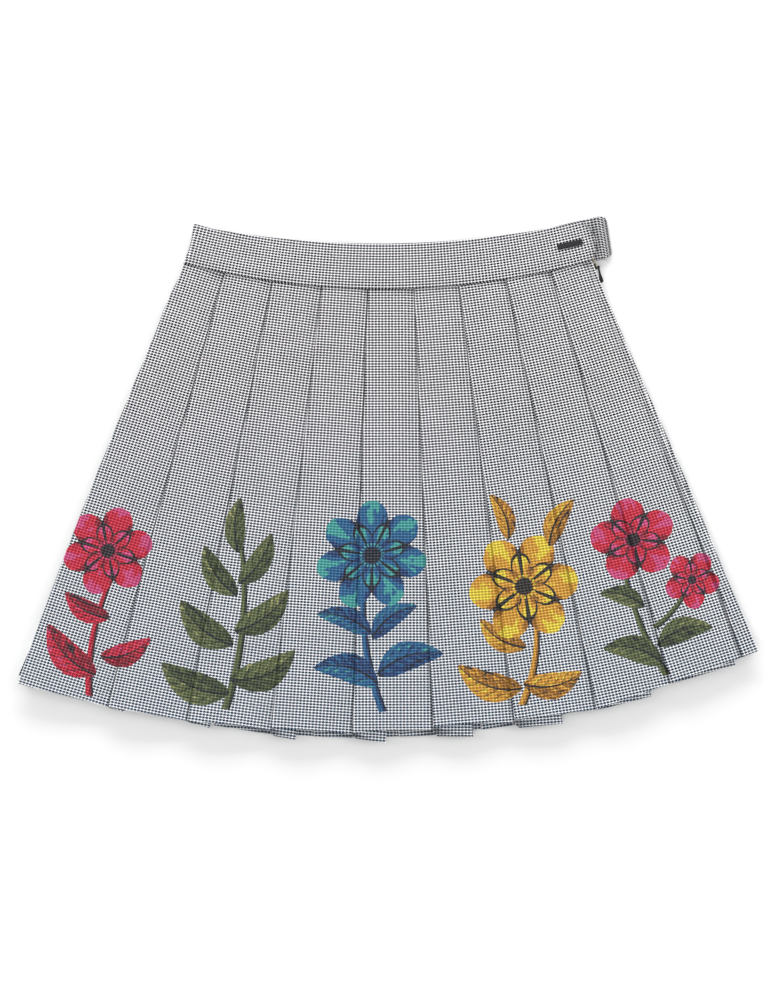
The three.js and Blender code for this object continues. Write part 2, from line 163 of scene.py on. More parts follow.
BAND_HALF = 188.5
BAND_TOP_HALF = 178
BAND_SHELL = 0.6
BAND_THICK = 2.4
BAND_FRONT_MIDDLE = 6.1
BAND_BACK_MIDDLE = 1.3
BAND_FOOT = Values(front_outer=0.25, front_inner=-2.5, back_outer=0.9, back_inner=-1.6, left_lift=-0.15,
                   left=(110, 175))
BAND_STEPS = 64
BAND_TURN_STEPS = 9
BAND_FOLD_STEPS = 8
BAND_END = Values(bulge=7, columns=5, power=1.2, pinch=0.45, next_pinch=0.8)
# Painted shade on the band: how dark the front end's edge is, the painted shadow behind that end on the
# underlap and how far it reaches, the top fold and how its shade blends in, and how dark the painted
# shade on the underlap's right edge is, and from where.
BAND_SHADE = Values(edge=0.5, behind=0.7, reach=5, top=0.3, blend=0.5, hem=0.45, hem_from=0.9)
BAND_SIDE = Values(start=176, pinch=2.0, lift=1.6, out=1.3)

# Shares of the band's height: its rows, the ridge over its turned edge, and where it is full.
BAND_LEVELS = (0.0, 0.02, 0.06, 0.15, 0.24, 0.3, 0.4, 0.55, 0.7, 0.85)
BAND_RIDGE = {0.15: 0.1, 0.24: 0.28, 0.3: 0.05}
BAND_OUTER_FULL = (0, 0.13)
BAND_INNER_FULL = (0.14, 0.3)

# The band's slow swells: height, how fast each turns, and its start. SWELL_SHARE scales them.
BAND_SWELLS = ((0.12, 0.071, 0.0), (0.1, 0.19, 1.3))
SWELL_SHARE = 0.6

# The underlap. Its shade is how dark its copy of the cloth is: painted shade, as it lies lower than the
# band's front end.
UNDERLAP = Values(seam=19, top=24, lift=2.6, lift_from=0.6, shade=0.76, round=8, top_drop=7,
                  foot_rise=2.5, columns=(0.3, 0.6, 0.8, 0.92, 1.0))
UNDERLAP_ROUND_FROM = BAND_HALF + UNDERLAP.seam - UNDERLAP.round

TAB = Values(start=158.5, end=183, low=0.425, high=0.565, z=7.65, end_lift=0.25, edge_lift=0.2,
             shell=0.35, rows=27, columns=9, height=40, end_round=0.9, edge_round=0.8, slope=5)
ZIP = Values(start=0.011, end=0.46, width=12, z=3.25, coil=0.6, wire=0.22, pitch=1.25, tape_edge=1.6,
             tape_shell=0.45, rows=40, columns=9, coil_in=1.1, coil_wide=0.9, coil_high=0.8,
             turn_steps=10, wire_sides=5)

CHECK_ACROSS = 3.0
CHECK_ALONG = 2.47
WARP_SHOWS = 0.75
DARK_SHARE = 0.665
TWILL = Values(repeat=4.0, up=1.5, threads=8.0, dark=3.5)

# A noise that varies about a middle: its scale and detail, how far it varies, and the middle.
Varied = namedtuple("Varied", "scale detail varies middle")

# The light threads' brightness, how much it varies from thread to thread, the painted shade over each
# thread's round that darkens its sides where the gaps between threads lie, the patches (scale, detail
# and strength of two noises), and their tint.
LIGHT_THREAD = Values(uneven=0.12, least=0.97, round=0.16, side=0.88, tint=(0.985, 0.99, 1.01))
PATCHES = ((0.018, 3.0, 0.08), (0.07, 2.0, 0.07))
INK_TOP = (0.007, 0.006, 0.010, 1)
INK_HEM = (0.004, 0.030, 0.064, 1)
INK_CHANGE = Values(slope=-3.2, middle=0.28)
# Painted shade along the fold lines and in the band's shaded places: its colour, a noise for how much
# of the cloth it covers, and the most it covers.
PAINTED_SHADE_COLOUR = (0.02, 0.022, 0.03, 1)
PAINTED_SHADE_COVER = Varied(0.55, 1.0, 0.6, 0.72)
PAINTED_SHADE_MOST = 0.92
PRINT_WHITENS = 0.34
FUZZ_NOISE = (2.2, 2.0)
FUZZ_HEIGHT = 0.4
CLOTH_BUMP = (0.35, 0.0001)
CLOTH_ROUGHNESS = Varied(0.4, 2.0, 0.05, 0.86)
CLOTH_SURFACE = {"Specular IOR Level": 0.2, "Sheen Weight": 0.06, "Sheen Roughness": 0.5}
BLACK_WEAVE = Values(scale=0.8, detail=2.0, ribs=0.6, uneven=0.5, blue=1.2, rough=0.62,
                     rough_varies=0.08, specular=0.25, bump=(0.4, 0.0001))
ENAMEL_NOISE = (900.0, 3.0, 0.6)
ENAMEL = Values(wear_from=0.25, wear_slope=1.6, wear_most=0.35, black=(0.012, 0.012, 0.015, 1),
                worn=(0.13, 0.13, 0.14, 1), rough=0.34, rough_varies=0.1, bump=(0.15, 0.00005))
ENAMEL_SURFACE = {"Metallic": 0.6, "Coat Weight": 0.3}


def smooth(low, high, value):
    """An eased step from 0 at low to 1 at high."""
    t = np.clip((value - low) / (high - low), 0, 1)
    return t * t * (3 - 2 * t)


def between(low, high, share):
    """The value share of the way from low to high."""
    return low + (high - low) * share


def unit(v):
    return v / np.maximum(np.linalg.norm(v, axis=-1, keepdims=True), 1e-9)


def on_arc(arc, s):
    """The point at arc length s from an arc's middle. The arc opens towards +Y."""
    tilt = math.radians(arc.tilt)
    angle = np.asarray(s, float) / arc.radius + tilt
    x = arc.x + arc.radius * (np.sin(angle) - math.sin(tilt))
    y = arc.y + arc.radius * (math.cos(tilt) - np.cos(angle))
    return np.stack([x, y], -1)


def on_skirt(hem, waist_s, hem_s, t, drop=0.0):
    """Points t of the way from waist seam to hem. The sides bow, and the right one is nipped in."""
    t = np.asarray(t, float)
    point = between(on_arc(WAIST_SEAM, waist_s), on_arc(hem, hem_s), t[..., None])
    share = np.clip(between(waist_s, hem_s, t) / between(EDGE_WAIST, EDGE_HEM, t), -1, 1)
    down = np.clip(t, 0, 1)
    bow = np.where(share < 0, SIDE_BOW.left * np.sin(np.pi * down ** SIDE_BOW.left_late),
                   SIDE_BOW.right * np.sin(np.pi * down ** SIDE_BOW.right_late))
    swell = SIDE_SWELL.depth * np.exp(-(((t - SIDE_SWELL.at) / SIDE_SWELL.spread) ** 2))
    bow = bow + np.where(share < 0, swell * np.clip(t / SIDE_SWELL.at, 0, 1), 0)
    nip = SIDE_NIP.depth * np.exp(-(((t - SIDE_NIP.at) / SIDE_NIP.spread) ** 2))
    nip = np.where(share < 0, 0, nip * np.clip(t / SIDE_NIP.at, 0, 1))
    point[..., 0] += (bow - nip) * share**3
    point[..., 1] -= drop * t
    return point


def crease_height(x, y):
    """The height that the listed creases give the front at a place on it."""
    height = np.zeros_like(x)
    for cx, cy, turn, half_length, half_width, rise in CREASES:
        a = math.radians(turn)
        along = (x - cx) * math.cos(a) + (y - cy) * math.sin(a)
        across = (y - cy) * math.cos(a) - (x - cx) * math.sin(a)
        height += rise * np.exp(-((along / half_length) ** 2) - (across / half_width) ** 2)
    (first_x, first_y), (second_x, second_y) = RIPPLE_WAVES
    ripple = np.sin(x * first_x + y * first_y) * np.sin(y * second_y + x * second_x)
    return height + RIPPLE_HEIGHT * (1 + ripple)


def wrap_at(wrap, t):
    """How far the last panel goes round the side, t of the way down."""
    return between(wrap.least, wrap.most, np.clip((t - wrap.start) / (1 - wrap.start), 0, 1))


def pleated_sheet(hem, folds, wrap, side, dip):
    """One pleated side: centre points, cloth coordinates, which columns lie on top, and painted fold
    shade.
    """
    t = np.concatenate([[-SEAM_TUCK / SHEET_LENGTH], np.linspace(0, 1, ROWS)])
    pitch = between(WAIST_LAYER_PITCH, LAYER_PITCH, np.clip(t, 0, 1))
    levels = [CLOTH / 2 + n * pitch for n in range(3)]
    fold_out = (pitch / 2 + CLOTH / 2)[:, None]
    last = len(folds) - 1
    waist_at = [(k - MIDDLE_FOLD) * WAIST_PITCH + fold.waist for k, fold in enumerate(folds)]
    hem_at = [(k - MIDDLE_FOLD) * HEM_PITCH + fold.hem for k, fold in enumerate(folds)]
    wrap_now = wrap_at(wrap, t)

    def place(waist_s, hem_s, drop):
        return on_skirt(hem, side * waist_s, side * hem_s, t, drop)

    outer = [place(waist_at[k], hem_at[k], fold.lower) for k, fold in enumerate(folds)]
    inner = [place(waist_at[k] + fold.underlay_waist, hem_at[k] + fold.underlay_hem, fold.drop)
             for k, fold in enumerate(folds)]
    edge = place(waist_at[last] + wrap.least, hem_at[last] + wrap_now, folds[last].lower)
    open_part = smooth(OPEN_FROM, 1, t) if side > 0 else np.zeros_like(t)
    lift = EDGE_LIFT * open_part
    # How dark the painted fold shade is, t of the way down.
    fold_shade_strength = FOLD_SHADE_LINE.waist + FOLD_SHADE_LINE.more * smooth(FOLD_SHADE_LINE.start, FOLD_SHADE_LINE.end, t)
    last_fold = smooth(*LAST_FOLD_FROM, t)

    axes = []
    for k in range(last + 1):
        after = outer[k + 1] if k < last else edge
        axis = unit(unit(outer[k][-1] - outer[k][0]) + unit(after[-1] - after[0]))
        axes.append((outer[k][1], axis))
    columns, maps, upper, shades = [], [], [], []

    def add(plan, z, panel, seen=False, shade=0.0):
        start, axis = axes[panel]
        offset = plan - start
        across = offset @ np.array([-axis[1], axis[0]]) * side
        along = offset @ axis
        maps.append(np.stack([across + PANEL_SHIFT[0] * panel, along + PANEL_SHIFT[1] * panel], -1))
        columns.append(np.concatenate([plan, np.broadcast_to(z, t.shape)[:, None]], -1))
        upper.append(seen)
        shades.append(np.minimum(1.0, shade * fold_shade_strength))

    def fold_shade_of(k):
        return folds[k].line * (last_fold if k == last else 1.0)

    def bend(tip, along, low, towards, panel, raised):
        centre = tip + along * towards * fold_out
        middle = (levels[low] + levels[low + 1]) / 2
        radius = pitch / 2
        half_way = BEND_COLUMNS // 2 - 1
        for n in range(BEND_COLUMNS):
            angle = -math.pi / 2 + math.pi * n / (BEND_COLUMNS - 1)
            out = -towards * math.cos(angle)
            faded = max(0.0, FOLD_SHADE_LINE.bend - FOLD_SHADE_LINE.fade * max(0, n - half_way))
            add(centre + along * out * radius[:, None], middle + radius * math.sin(angle) + raised,
                panel, towards > 0 and n >= half_way, fold_shade_of(panel) * float(towards > 0) * faded)

    def turned_edge(along, edge_lift):
        curl = TURNED_EDGE.curl
        start = outer[last] + along * fold_out
        centre = edge - along * (curl + CLOTH / 2)
        for share in TURNED_EDGE.before:
            add(between(start, centre, share), levels[2] + edge_lift * (1 - share), last, True)
        for n in range(TURNED_EDGE.steps):
            angle = math.pi / 2 - n * math.pi / (2 * (TURNED_EDGE.steps - 1))
            add(centre + along * curl * math.cos(angle),
                levels[2] - curl + curl * math.sin(angle), last, True)
        add(centre + along * curl, CLOTH / 2, last)

    def panel_top(k, after, hang):
        width = np.linalg.norm(after - outer[k], axis=-1)
        fold, following = folds[k], folds[k + 1]
        underlay = between(fold.underlay_waist, fold.underlay_hem, t)
        dip_end = width - DIP_BEFORE_FOLD
        dip_from = dip_end - dip if dip > 0 else np.minimum(
            underlay + PANEL_DIP.past_underlay, dip_end - PANEL_DIP.longest)
        puff = fold.puff * open_part
        shares = [n / PANEL_COLUMNS for n in range(PANEL_COLUMNS)]
        shares += [1 - FOLD_SHADE_LINE.width / WAIST_PITCH, 1]
        for share in shares:
            distance = between(fold_out[:, 0], dip_end, share)
            part = distance / width
            waist_s = between(waist_at[k], waist_at[k + 1], part)
            hem_s = between(hem_at[k], hem_at[k + 1], part)
            arc = place(waist_s, hem_s, between(fold.lower, following.lower, part))
            plan = between(arc, between(outer[k], after, part[:, None]), t[:, None])
            down = smooth(0, 1, (distance - dip_from) / (dip_end - dip_from))
            arch = np.sin(np.pi * share) ** PANEL_ARCH.power * (1 - PANEL_ARCH.lean * share)
            z = between(levels[2], levels[0], down) + puff * arch
            z = z + lift * (1 - share) ** EDGE_LIFT_POWER
            add(plan + hang * HANG_BEFORE * share**3, z, k, True, float(share == 1) * fold_shade_of(k + 1))

    add(inner[0], levels[1], 0)
    add((inner[0] + outer[0]) / 2, levels[1] + lift / 2, 0)
    for k in range(last):
        after = outer[k + 1]
        bend(outer[k], unit(after - outer[k]), 1, 1, k, lift)
        hang = np.stack([np.zeros_like(t), -folds[k + 1].hang * t], -1)
        panel_top(k, after, hang)
        fold_line = inner[k + 1] - after
        for share in (UNDERLAY.line, UNDERLAY.middle):
            on_line = share == UNDERLAY.line
            add(after + fold_line * share + hang * (HANG_UNDERLAY - HANG_UNDERLAY * share), levels[0],
                k, on_line, float(on_line) * fold_shade_of(k + 1))
        bend(inner[k + 1], unit(fold_line), 0, -1, k, 0)
        add(after + fold_line * UNDERLAY.middle, levels[1] + lift / 2, k)
        add(after + unit(fold_line) * UNDERLAY.top, levels[1] + lift, k)
    along = unit(edge - outer[last])
    bend(outer[last], along, 1, 1, last, lift * last_fold)
    turned_edge(along, lift * last_fold)

    points = np.stack(columns, 1)
    if side > 0:
        points[..., 2] += FRONT_FLOOR + crease_height(points[..., 0], points[..., 1])
        points[..., 2] += HEM_RISE * smooth(HEM_RISE_FROM, 1, t)[:, None]
    else:
        points[..., 2] = STACK - points[..., 2]
    return points, np.stack(maps, 1), upper, np.stack(shades, 1)


def shell(name, points, maps, thickness, material, shades=None):
    """A cloth piece: a grid of centre points given a thickness, with its edges closed."""
    rows, count = points.shape[:2]
    if shades is None:
        shades = np.zeros((rows, count))

    def tangent(axis):
        step = unit(np.diff(points, axis=axis))
        pad = [(0, 0)] * 3
        pad[axis] = (1, 1)
        wide = np.pad(step, pad, mode="edge")
        low = np.take(wide, range(points.shape[axis]), axis)
        high = np.take(wide, range(1, points.shape[axis] + 1), axis)
        return unit(low + high)

    normal = unit(np.cross(tangent(0), tangent(1)))
    top = (points + normal * thickness / 2).reshape(-1, 3)
    under = (points - normal * thickness / 2).reshape(-1, 3)
    flat = maps.reshape(-1, 2)
    size = rows * count
    index = np.arange(size).reshape(rows, count)
    a, b, c, d = index[:-1, :-1], index[1:, :-1], index[1:, 1:], index[:-1, 1:]
    quads = [
        np.stack([a, b, c, d], -1).reshape(-1, 4),
        np.stack([a, d, c, b], -1).reshape(-1, 4) + size,
    ]
    vertices, coordinates, shading = [top, under], [flat, flat], [shades.ravel()] * 2
    start = 2 * size
    for border in (index[0, ::-1], index[:, 0], index[-1, :], index[::-1, -1]):
        n = len(border)
        vertices += [top[border], under[border]]
        coordinates += [flat[border], flat[border]]
        shading += [shades.ravel()[border]] * 2
        i = np.arange(n - 1) + start
        quads.append(np.stack([i + 1, i, i + n, i + n + 1], -1))
        start += 2 * n
    made = mesh_object(name, np.concatenate(vertices), np.concatenate(quads), material,
                       np.concatenate(coordinates))
    # The painted shade of each point goes in an attribute that the cloth's material reads.
    layer = made.data.attributes.new("painted_shade", "FLOAT", "POINT")
    layer.data.foreach_set("value", np.concatenate(shading).astype(np.float32))
    return made


def mesh_object(name, vertices, faces, material, maps=None):
    """A smooth-shaded mesh object from points in millimetres."""
    mesh = bpy.data.meshes.new(name)
    mesh.from_pydata((np.asarray(vertices) * MM).tolist(), [], [list(map(int, f)) for f in faces])
    if maps is not None:
        layer = mesh.uv_layers.new(name="cloth")
        loops = np.zeros(len(mesh.loops), np.int64)
        mesh.loops.foreach_get("vertex_index", loops)
        layer.data.foreach_set("uv", np.asarray(maps, np.float32)[loops].ravel())
    mesh.shade_smooth()
    mesh.materials.append(material)
    made = bpy.data.objects.new(name, mesh)
    bpy.context.scene.collection.objects.link(made)
    return made


class Formula:
    """A number in a shader. Arithmetic on it adds the nodes that work it out."""

    def __init__(self, tree, socket):
        self.tree = tree
        self.socket = socket

    def calculate(self, operation, *others):
        made = node(self.tree, "ShaderNodeMath", dict(enumerate((self, *others))), operation=operation)
        return Formula(self.tree, made.outputs[0])

    __add__ = partialmethod(calculate, "ADD")
    __sub__ = partialmethod(calculate, "SUBTRACT")
    __mul__ = partialmethod(calculate, "MULTIPLY")
    __truediv__ = partialmethod(calculate, "DIVIDE")
    __pow__ = partialmethod(calculate, "POWER")
    __lt__ = partialmethod(calculate, "LESS_THAN")
    __gt__ = partialmethod(calculate, "GREATER_THAN")
    # x.least(a) is x but at least a, and x.most(a) is x but at most a.
    least = partialmethod(calculate, "MAXIMUM")
    most = partialmethod(calculate, "MINIMUM")
    floor = partialmethod(calculate, "FLOOR")
    modulo = partialmethod(calculate, "FLOORED_MODULO")
    size = partialmethod(calculate, "ABSOLUTE")
    sine = partialmethod(calculate, "SINE")
    cosine = partialmethod(calculate, "COSINE")

    def flipped(self):
        """One minus this."""
        return (self * -1) + 1

    def to(self, other, share):
        """This, moved towards other by share."""
        step = other - self if isinstance(other, Formula) else self * -1 + other
        return self + step * share


def connect(tree, values, sockets):
    """Gives a node's sockets their values. Each value is a plain one, a socket or a formula."""
    for key, value in values.items():
        value = value.socket if isinstance(value, Formula) else value
        if isinstance(value, bpy.types.NodeSocket):
            tree.links.new(value, sockets[key])
        else:
            sockets[key].default_value = value


def node(tree, kind, links=None, **settings):
    """Adds a node with the settings. links gives its inputs."""
    made = tree.nodes.new(kind)
    for key, value in settings.items():
        setattr(made, key, value)
    connect(tree, links or {}, made.inputs)
    return made


def mix_colour(tree, share, a, b, blend="MIX"):
    """Mixes colour b into colour a."""
    return node(tree, "ShaderNodeMix", {0: share, 6: a, 7: b}, data_type="RGBA", blend_type=blend,
                clamp_factor=True).outputs[2]


def bump(tree, strength, distance, height):
    """A normal that follows a height."""
    return node(tree, "ShaderNodeBump",
                {"Strength": strength, "Distance": distance, "Height": height}).outputs["Normal"]


def vector(tree, x, y, z):
    return node(tree, "ShaderNodeCombineXYZ", {"X": x, "Y": y, "Z": z}).outputs[0]


def tinted(tree, level, tint):
    """A colour with a tint, as bright as level."""
    return node(tree, "ShaderNodeCombineColor",
                {n: level * share for n, share in enumerate(tint)}).outputs[0]


def uv_map(tree):
    return node(tree, "ShaderNodeUVMap", uv_map="cloth").outputs["UV"]


def thread_round(count):
    """The height over the thread that a count is in: 0 at its sides and 1 at its middle."""
    return ((count - count.floor()) * (2 * math.pi)).cosine() * -0.5 + 0.5


def new_material(name):
    """A material with its surface shader, and the tree that both are in."""
    material = bpy.data.materials.new(name)
    material.use_nodes = True
    tree = material.node_tree
    return material, tree, tree.nodes["Principled BSDF"]


def split(tree, vector):
    """The x and y of a vector, as formulas."""
    parts = node(tree, "ShaderNodeSeparateXYZ", {"Vector": vector})
    return Formula(tree, parts.outputs["X"]), Formula(tree, parts.outputs["Y"])


def noise(tree, vector, scale, detail=2.0, roughness=0.5):
    """A noise value from -1 to 1."""
    made = node(tree, "ShaderNodeTexNoise",
                {"Vector": vector, "Scale": scale, "Detail": detail, "Roughness": roughness})
    return (Formula(tree, made.outputs["Fac"]) - 0.5) * 2


def varied(tree, vector, look):
    """A value that varies about a middle."""
    return noise(tree, vector, look.scale, look.detail) * look.varies + look.middle


# The printed border's inks: charcoal, deep, middle and light, for each colour family.
INKS = (
    ((0.020, 0.022, 0.022), (0.062, 0.082, 0.028), (0.140, 0.170, 0.060), (0.400, 0.400, 0.140)),
    ((0.026, 0.021, 0.014), (0.430, 0.170, 0.012), (0.850, 0.410, 0.034), (1.000, 0.760, 0.050)),
    ((0.014, 0.018, 0.032), (0.012, 0.055, 0.190), (0.020, 0.150, 0.340), (0.070, 0.440, 0.410)),
    ((0.028, 0.016, 0.022), (0.300, 0.006, 0.025), (0.750, 0.016, 0.055), (0.780, 0.080, 0.250)),
)
INK_STEPS = (0.0, 0.25, 0.5, 0.76)

# How the shapes are painted. Lengths in a flower are shares of its radius, and tones run from 0 to 1.
STROKE_NOISE = (1.6, 2.0)
STROKE = Values(turns=4, rings=1.5, along=0.05, aside=0.3)
PETAL_RIM = Values(least=0.66, swell=0.32, power=0.45, wobble=0.05)
INNER_RIM = Values(least=0.34, swell=0.24, power=0.5, wobble=0.04)
PETAL = Values(line=0.03, line_breaks=-0.25, gap=0.022, gap_stroke=0.02, gap_to=0.9, veins=0.3,
               veins_to=0.34, heart=0.15, heart_wobble=0.04, stamen_at=0.19, stamen_half=0.025,
               stamen_turns=3, stamen_gaps=0.3)
OUTER_TONE = Values(petal=0.5, radius=0.33, base=0.05, wobble=0.24, stroke=0.3)
INNER_TONE = Values(petal=0.42, radius=0.9, base=0.06, wobble=0.2, stroke=0.3)
LEAF = Values(hump_power=0.72, taper=-0.45, full=1.2, wobble=0.12, least=0.25, veins=6.5, slant=3.2,
              vein_wobble=0.25, rib=0.9, rib_tip=0.25, notch=0.93, notch_to=0.8, under=-0.35,
              under_from=-0.12)
LEAF_TONE = Values(upper=0.2, vein=0.3, along=0.12, base=0.22, wobble=0.22, stroke=0.35)
STEM = Values(taper=-0.5, full=1.15, wobble=0.1, dark_side=0.5)
STEM_TONE = Values(upper=0.3, base=0.33, wobble=0.12, stroke=0.3)
TONE = Values(least=0.27, dark=0.1, light=0.95, lowest=0.03, highest=0.97)
WOBBLE_NOISE = (0.11, 3.0, 0.6)
INK_COVER = Varied(0.35, 2.0, 0.06, 0.94)

# The sprays: name, left, right and top of the part of the front that holds it, and its shapes. One row
# a shape: kind, colour family, place, turn in degrees, length or radius, width or squash, and the bend
# or the number of petals.
SPRAYS = (
    ("crimson_left", -330, -205, -10, (
        ("stem", 3, -262, -200, 78, 126, 3.0, 9),
        ("leaf", 3, -257, -182, 134, 62, 27, 7),
        ("leaf", 3, -253, -166, 20, 47, 22, -6),
        ("leaf", 3, -246, -132, 150, 46, 20, 5),
        ("flower", 3, -249, -72, 12, 41, 1.0, 6),
    )),
    ("olive", -205, -74, -14, (
        ("stem", 0, -142, -212, 86, 152, 3.2, -9),
        ("leaf", 0, -139, -198, 156, 66, 29, 8),
        ("leaf", 0, -139, -186, 24, 63, 28, -9),
        ("leaf", 0, -136, -156, 140, 62, 27, 7),
        ("leaf", 0, -135, -144, 38, 60, 25, -6),
        ("leaf", 0, -133, -112, 124, 54, 22, 6),
        ("leaf", 0, -132, -102, 58, 54, 21, -5),
        ("leaf", 0, -133, -74, 88, 50, 19, 4),
    )),
    ("teal", -74, 54, -10, (
        ("stem", 2, -4, -214, 97, 128, 3.2, 8),
        ("leaf", 2, -8, -190, 166, 59, 26, -8),
        ("leaf", 2, -9, -182, 18, 61, 27, 8),
        ("leaf", 2, -14, -146, 160, 52, 21, -6),
        ("leaf", 2, -14, -150, 36, 50, 20, 6),
        ("flower", 2, -14, -76, 40, 52, 0.94, 7),
    )),
    ("amber", 54, 176, -10, (
        ("stem", 1, 118, -208, 84, 96, 3.2, -8),
        ("leaf", 1, 118, -194, 160, 60, 27, 8),
        ("leaf", 1, 119, -190, 12, 53, 24, -7),
        ("leaf", 1, 122, -158, 148, 48, 20, 6),
        ("flower", 1, 121, -104, 8, 50, 1.0, 6),
        ("leaf", 1, 144, -68, 62, 48, 20, 5),
        ("leaf", 1, 108, -62, 112, 44, 18, -5),
    )),
    ("crimson_right", 176, 330, -10, (
        ("stem", 0, 246, -182, 108, 124, 3.0, 8),
        ("stem", 0, 236, -140, 52, 52, 2.4, -4),
        ("leaf", 0, 243, -172, 166, 55, 24, -7),
        ("leaf", 0, 238, -156, 18, 52, 22, 7),
        ("leaf", 0, 228, -122, 164, 42, 18, -5),
        ("flower", 3, 219, -62, 30, 40, 0.95, 5),
        ("flower", 3, 270, -98, 60, 27, 0.92, 5),
    )),
)


def flower(tree, x, y, long, wide, petals, wobble):
    """Whether a place is in a flower, and its tone there."""
    y = y / wide
    radius = ((x * x + y * y) ** 0.5) / long
    angle = y.calculate("ARCTAN2", x)
    strokes = vector(tree, angle * STROKE.turns, radius * STROKE.rings, long)
    stroke = noise(tree, strokes, *STROKE_NOISE)
    turn = angle * petals
    petal = turn.cosine() * 0.5 + 0.5
    gaps = petal.flipped()

    def edge(lobe, rim):
        return (lobe.least(0.0) ** rim.power) * rim.swell + rim.least + wobble * rim.wobble

    def tone_of(lobe, tones):
        shape = (lobe ** 0.5) * tones.petal + radius * tones.radius + tones.base
        return shape + wobble * tones.wobble + stroke * tones.stroke

    outer_rim, inner_rim = edge(petal, PETAL_RIM), edge(gaps, INNER_RIM)
    tone = tone_of(petal, OUTER_TONE).to(tone_of(gaps, INNER_TONE), radius < inner_rim)
    line = ((radius - inner_rim).size() < PETAL.line) * (wobble > PETAL.line_breaks)
    gap = (petal * radius) < (stroke * PETAL.gap_stroke + PETAL.gap)
    gap = gap * (radius < PETAL.gap_to)
    gap = gap.least((stroke > PETAL.veins) * (radius < PETAL.veins_to))
    heart = radius < (wobble * PETAL.heart_wobble + PETAL.heart)
    dark = (line + gap + heart).most(1.0)
    stamen = (radius - PETAL.stamen_at).size() < PETAL.stamen_half
    stamen = stamen * ((turn * PETAL.stamen_turns).sine() > PETAL.stamen_gaps)
    tone = tone.least(TONE.least).to(TONE.dark, dark).to(TONE.light, stamen)
    return radius < outer_rim, tone


def leaf_or_stem(tree, kind, x, y, long, wide, bend_by, wobble):
    """Whether a place is in a bent leaf or stem, and its tone there."""
    share = x / long
    strokes = vector(tree, x * STROKE.along, y * STROKE.aside, long)
    stroke = noise(tree, strokes, *STROKE_NOISE)
    hump = (share * share.flipped() * 4).least(0.0)
    aside = y - bend_by * hump
    apart = aside.size()
    upper = aside > 0.0
    if kind == "leaf":
        half = wide * 0.5 * (hump ** LEAF.hump_power) * (share * LEAF.taper + LEAF.full)
        half = half * (wobble * LEAF.wobble + 1)
        inside = (half - apart) > LEAF.least
        vein = share * LEAF.veins - apart / wide * LEAF.slant + wobble * LEAF.vein_wobble
        vein = vein.calculate("FRACT")
        tone = upper * LEAF_TONE.upper + vein * LEAF_TONE.vein + share * LEAF_TONE.along
        tone = tone + LEAF_TONE.base + wobble * LEAF_TONE.wobble + stroke * LEAF_TONE.stroke
        rib = apart < (share.flipped() * LEAF.rib + LEAF.rib_tip)
        notch = (vein > LEAF.notch) * (apart < half * LEAF.notch_to)
        under = aside < (half * LEAF.under)
        under = under * ((stroke * 0.5 + wobble * 0.5) < LEAF.under_from)
        dark = (rib + notch + under).most(1.0)
    else:
        half = (share * STEM.taper + STEM.full) * wide * (wobble * STEM.wobble + 1)
        inside = (apart < half) * (share > 0.0) * (share < 1.0)
        tone = upper * STEM_TONE.upper + STEM_TONE.base
        tone = tone + wobble * STEM_TONE.wobble + stroke * STEM_TONE.stroke
        dark = (aside + half) < (wide * STEM.dark_side)
    return inside, tone.least(TONE.least).to(TONE.dark, dark)


def print_group(kind):
    """A node group that draws one printed shape: whether a place is in it, and its tone there."""
    group = bpy.data.node_groups.new("print_" + kind, "ShaderNodeTree")
    for in_out, holds, names in (("INPUT", "Vector", ("Place", "Centre")),
                                 ("INPUT", "Float", ("Wobble", "Turn", "Long", "Wide", "Bend")),
                                 ("OUTPUT", "Float", ("Inside", "Tone"))):
        for name in names:
            group.interface.new_socket(name, in_out=in_out, socket_type="NodeSocket" + holds)
    given = group.nodes.new("NodeGroupInput").outputs
    offset = node(group, "ShaderNodeVectorMath", {0: given["Place"], 1: given["Centre"]},
                  operation="SUBTRACT")
    turned = node(group, "ShaderNodeVectorRotate",
                  {"Vector": offset.outputs[0], "Angle": given["Turn"]},
                  rotation_type="Z_AXIS", invert=True)
    x, y = split(group, turned.outputs[0])
    long, wide, bend_by, wobble = (Formula(group, given[name])
                                   for name in ("Long", "Wide", "Bend", "Wobble"))
    if kind == "flower":
        inside, tone = flower(group, x, y, long, wide, bend_by, wobble)
    else:
        inside, tone = leaf_or_stem(group, kind, x, y, long, wide, bend_by, wobble)
    tone = tone.most(TONE.highest).least(TONE.lowest)
    node(group, "NodeGroupOutput", {"Inside": inside, "Tone": tone})
    return group


